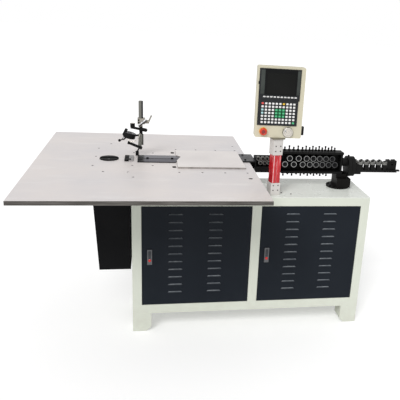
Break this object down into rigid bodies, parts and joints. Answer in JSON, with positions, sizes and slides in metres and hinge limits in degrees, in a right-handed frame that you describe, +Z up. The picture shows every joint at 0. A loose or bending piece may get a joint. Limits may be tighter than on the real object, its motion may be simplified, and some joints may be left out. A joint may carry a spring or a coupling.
{
  "type": "wire forming machine",
  "caption": "Computer-controlled wire forming machine: flat bending table on a louvred two-door cabinet, with roller straighteners and a swivelling control pendant.",
  "frame": {"origin": "middle of the machine's footprint on the floor", "axes": "+X along the wire line towards the wire's entry, +Y to the back, +Z up"},
  "size_m": [2.07, 1.392, 1.4983],
  "materials": {
    "cream_paint": "satin",
    "slate_paint": "satin",
    "black_paint": "satin",
    "table_steel": "brushed",
    "tool_steel": "ground",
    "black_steel": "blackened",
    "roller_chrome": "polished",
    "drive_metal": "cast",
    "electrics": "matt",
    "lock_metal": "satin",
    "red_plastic": "gloss",
    "beige_paint": "satin",
    "panel_plastic": "matt",
    "screen_glass": "gloss",
    "key_plastic": "matt",
    "wheel_metal": "satin"
  },
  "bodies": {
    "machine": {"front_frame": "cream_paint", "cabinet_shell": "cream_paint", "floor_tray": "cream_paint", "cabinet_top": "cream_paint", "table_riser": "slate_paint", "table_plate": "table_steel", "screws": "black_steel", "feed_cover": "table_steel", "wire_guide": "tool_steel", "cutter_block": "tool_steel", "head_housing": "black_paint", "bend_drive": "drive_metal", "feed_drive": "drive_metal", "control_panel": "electrics", "pendant_pole": "cream_paint", "pole_sleeves": "cream_paint", "straightener_column": "black_paint", "channel": "black_paint", "slide_blocks": "black_steel", "adjusting_bolts": "black_steel", "entry_unit": "black_paint", "exit_unit": "black_paint", "guide_rollers": "roller_chrome", "arm_foot": "tool_steel"},
    "door_left": {"door_left": "slate_paint"},
    "lock_handle_left": {"lock_handle_left": "lock_metal"},
    "lock_button_left": {"lock_button_left": "red_plastic"},
    "door_right": {"door_right": "slate_paint"},
    "lock_handle_right": {"lock_handle_right": "lock_metal"},
    "lock_button_right": {"lock_button_right": "red_plastic"},
    "pendant": {"pendant_case": "beige_paint", "pendant_panel": "panel_plastic", "pendant_screen": "screen_glass", "pendant_keys": "key_plastic"},
    "stop_button": {"stop_button": "red_plastic"},
    "handwheel": {"handwheel": "wheel_metal"},
    "turret": {"turret": "black_steel"},
    "bend_pin": {"bend_pin": "tool_steel"},
    "cutter_blade": {"cutter_blade": "tool_steel"},
    "drive_roller": {"drive_roller": "roller_chrome"},
    "pinch_slide": {"pinch_slide": "tool_steel"},
    "pinch_roller": {"pinch_roller": "roller_chrome"},
    "arm_lower": {"arm_lower": "tool_steel"},
    "arm_upper": {"arm_upper": "wheel_metal"},
    "arm_post": {"arm_post": "black_steel"},
    "roller_top_1": {"roller_top_1": "roller_chrome"},
    "roller_top_2": {"roller_top_2": "roller_chrome"},
    "roller_top_3": {"roller_top_3": "roller_chrome"},
    "roller_top_4": {"roller_top_4": "roller_chrome"},
    "roller_top_5": {"roller_top_5": "roller_chrome"},
    "roller_top_6": {"roller_top_6": "roller_chrome"},
    "roller_top_7": {"roller_top_7": "roller_chrome"},
    "roller_low_1": {"roller_low_1": "roller_chrome"},
    "roller_low_2": {"roller_low_2": "roller_chrome"},
    "roller_low_3": {"roller_low_3": "roller_chrome"},
    "roller_low_4": {"roller_low_4": "roller_chrome"},
    "roller_low_5": {"roller_low_5": "roller_chrome"},
    "roller_low_6": {"roller_low_6": "roller_chrome"},
    "roller_low_7": {"roller_low_7": "roller_chrome"},
    "roller_low_8": {"roller_low_8": "roller_chrome"}
  },
  "joints": [
    {"name": "door_left_hinge", "type": "hinge", "parent": "machine", "child": "door_left", "pos_m": [0.092, -0.181, 0.457], "axis": [0, 0, 1], "range_deg": [0, 95]},
    {"name": "lock_left_grip", "type": "hinge", "parent": "door_left", "child": "lock_handle_left", "pos_m": [-0.4505, -0.19, 0.488], "axis": [-1, 0, 0], "range_deg": [0, 40]},
    {"name": "lock_left_push", "type": "slide", "parent": "door_left", "child": "lock_button_left", "axis": [0, 1, 0], "range_m": [0, 0.003], "stiffness_N_per_m": 400},
    {"name": "door_right_hinge", "type": "hinge", "parent": "machine", "child": "door_right", "pos_m": [0.72, -0.181, 0.457], "axis": [0, 0, 1], "range_deg": [0, 95]},
    {"name": "lock_right_grip", "type": "hinge", "parent": "door_right", "child": "lock_handle_right", "pos_m": [0.1975, -0.19, 0.488], "axis": [-1, 0, 0], "range_deg": [0, 40]},
    {"name": "lock_right_push", "type": "slide", "parent": "door_right", "child": "lock_button_right", "axis": [0, 1, 0], "range_m": [0, 0.003], "stiffness_N_per_m": 400},
    {"name": "pendant_swivel", "type": "hinge", "parent": "machine", "child": "pendant", "pos_m": [0.2245, -0.122, 1.1243], "axis": [0, 0, 1], "range_deg": [-90, 90]},
    {"name": "stop_press", "type": "slide", "parent": "pendant", "child": "stop_button", "axis": [0.0523, 0.9986, 0], "range_m": [0, 0.005]},
    {"name": "handwheel_turn", "type": "hinge", "parent": "pendant", "child": "handwheel", "pos_m": [0.27512, -0.14969, 1.1568], "axis": [-0.0523, -0.9986, 0], "continuous": true},
    {"name": "turret_turn", "type": "hinge", "parent": "machine", "child": "turret", "pos_m": [-0.6648, 0.032, 0.948], "axis": [0, 0, 1], "range_deg": [-180, 180]},
    {"name": "bend_pin_lift", "type": "slide", "parent": "turret", "child": "bend_pin", "axis": [0, 0, 1], "range_m": [0, 0.012]},
    {"name": "cutter_stroke", "type": "slide", "parent": "machine", "child": "cutter_blade", "axis": [0, 0, -1], "range_m": [0, 0.006], "stiffness_N_per_m": 2000, "springref_m": -0.008},
    {"name": "drive_spin", "type": "hinge", "parent": "machine", "child": "drive_roller", "pos_m": [-0.1227, -0.0285, 0.9515], "axis": [0, 0, 1], "continuous": true},
    {"name": "pinch_open", "type": "slide", "parent": "machine", "child": "pinch_slide", "axis": [0, 1, 0], "range_m": [0, 0.004], "stiffness_N_per_m": 5000},
    {"name": "pinch_spin", "type": "hinge", "parent": "pinch_slide", "child": "pinch_roller", "pos_m": [-0.1227, 0.0925, 0.9515], "axis": [0, 0, 1], "continuous": true},
    {"name": "arm_low_tilt", "type": "hinge", "parent": "machine", "child": "arm_lower", "pos_m": [-0.5037, 0.116, 0.997], "axis": [0, 1, 0], "range_deg": [-12, 12]},
    {"name": "arm_up_tilt", "type": "hinge", "parent": "arm_lower", "child": "arm_upper", "pos_m": [-0.4972, 0.116, 1.083], "axis": [0, 1, 0], "range_deg": [-15, 15]},
    {"name": "arm_post_lift", "type": "slide", "parent": "arm_upper", "child": "arm_post", "axis": [0, 0, 1], "range_m": [0, 0.015]},
    {"name": "roller_top_1_spin", "type": "hinge", "parent": "machine", "child": "roller_top_1", "pos_m": [0.3425, 0.032, 0.96913], "axis": [0, 1, 0], "continuous": true},
    {"name": "roller_top_2_spin", "type": "hinge", "parent": "machine", "child": "roller_top_2", "pos_m": [0.3955, 0.032, 0.96913], "axis": [0, 1, 0], "continuous": true},
    {"name": "roller_top_3_spin", "type": "hinge", "parent": "machine", "child": "roller_top_3", "pos_m": [0.4435, 0.032, 0.96913], "axis": [0, 1, 0], "continuous": true},
    {"name": "roller_top_4_spin", "type": "hinge", "parent": "machine", "child": "roller_top_4", "pos_m": [0.48425, 0.032, 0.96913], "axis": [0, 1, 0], "continuous": true},
    {"name": "roller_top_5_spin", "type": "hinge", "parent": "machine", "child": "roller_top_5", "pos_m": [0.52275, 0.032, 0.96913], "axis": [0, 1, 0], "continuous": true},
    {"name": "roller_top_6_spin", "type": "hinge", "parent": "machine", "child": "roller_top_6", "pos_m": [0.56125, 0.032, 0.96913], "axis": [0, 1, 0], "continuous": true},
    {"name": "roller_top_7_spin", "type": "hinge", "parent": "machine", "child": "roller_top_7", "pos_m": [0.59975, 0.032, 0.96913], "axis": [0, 1, 0], "continuous": true},
    {"name": "roller_low_1_spin", "type": "hinge", "parent": "machine", "child": "roller_low_1", "pos_m": [0.316, 0.032, 0.93387], "axis": [0, 1, 0], "continuous": true},
    {"name": "roller_low_2_spin", "type": "hinge", "parent": "machine", "child": "roller_low_2", "pos_m": [0.369, 0.032, 0.93387], "axis": [0, 1, 0], "continuous": true},
    {"name": "roller_low_3_spin", "type": "hinge", "parent": "machine", "child": "roller_low_3", "pos_m": [0.422, 0.032, 0.93387], "axis": [0, 1, 0], "continuous": true},
    {"name": "roller_low_4_spin", "type": "hinge", "parent": "machine", "child": "roller_low_4", "pos_m": [0.465, 0.032, 0.93387], "axis": [0, 1, 0], "continuous": true},
    {"name": "roller_low_5_spin", "type": "hinge", "parent": "machine", "child": "roller_low_5", "pos_m": [0.5035, 0.032, 0.93387], "axis": [0, 1, 0], "continuous": true},
    {"name": "roller_low_6_spin", "type": "hinge", "parent": "machine", "child": "roller_low_6", "pos_m": [0.542, 0.032, 0.93387], "axis": [0, 1, 0], "continuous": true},
    {"name": "roller_low_7_spin", "type": "hinge", "parent": "machine", "child": "roller_low_7", "pos_m": [0.5805, 0.032, 0.93387], "axis": [0, 1, 0], "continuous": true},
    {"name": "roller_low_8_spin", "type": "hinge", "parent": "machine", "child": "roller_low_8", "pos_m": [0.619, 0.032, 0.93387], "axis": [0, 1, 0], "continuous": true}
  ],
  "couplings": [
    {"joint": "pinch_spin", "follows": "drive_spin", "ratio": -1}
  ]
}
